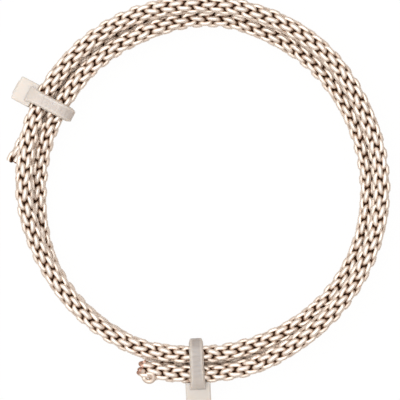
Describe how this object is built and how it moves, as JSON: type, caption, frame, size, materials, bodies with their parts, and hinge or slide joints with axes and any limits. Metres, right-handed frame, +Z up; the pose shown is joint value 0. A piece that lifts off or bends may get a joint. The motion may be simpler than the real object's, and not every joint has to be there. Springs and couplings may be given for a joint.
{
  "type": "braided grounding cord coil",
  "caption": "Flat hand-size coil of round braided, silver-coloured copper grounding cord with bare cut ends, held by translucent nylon cable ties.",
  "frame": {"origin": "on the coil's axis, in the plane of the surface that the coil lies on", "axes": "+Z up along the coil's axis; +X and +Y in the plane of the coil; the tie called tie_left sits at 151.2 degrees and tie_bottom at 268.3 degrees anticlockwise from +X"},
  "size_m": [0.0616, 0.0654, 0.0086],
  "materials": {
    "plated_copper_braid": "bright tin-plated copper wire, braided, copper showing at cuts and rubbed spots",
    "natural_nylon": "translucent natural nylon, satin moulded"
  },
  "bodies": {
    "coil": {"cord_free_end_a": "plated_copper_braid", "cord_first_turn": "plated_copper_braid", "cord_second_turn": "plated_copper_braid", "cord_third_turn": "plated_copper_braid", "cord_free_end_b": "plated_copper_braid", "tie_bottom_strap": "natural_nylon", "tie_bottom_head": "natural_nylon", "tie_left_strap": "natural_nylon", "tie_left_head": "natural_nylon"},
    "pawl_bottom": {"tie_bottom_pawl": "natural_nylon"},
    "pawl_left": {"tie_left_pawl": "natural_nylon"}
  },
  "joints": [
    {"name": "pawl_bottom_hinge", "type": "hinge", "parent": "coil", "child": "pawl_bottom", "pos_m": [-0.00064, -0.03201, 0.00337], "axis": [-0.9988, -0.0489, 0], "range_deg": [0, 12], "stiffness_Nm_per_rad": 0.005},
    {"name": "pawl_left_hinge", "type": "hinge", "parent": "coil", "child": "pawl_left", "pos_m": [-0.02779, 0.0152, 0.00337], "axis": [0.4664, 0.8846, 0], "range_deg": [0, 12], "stiffness_Nm_per_rad": 0.005}
  ]
}
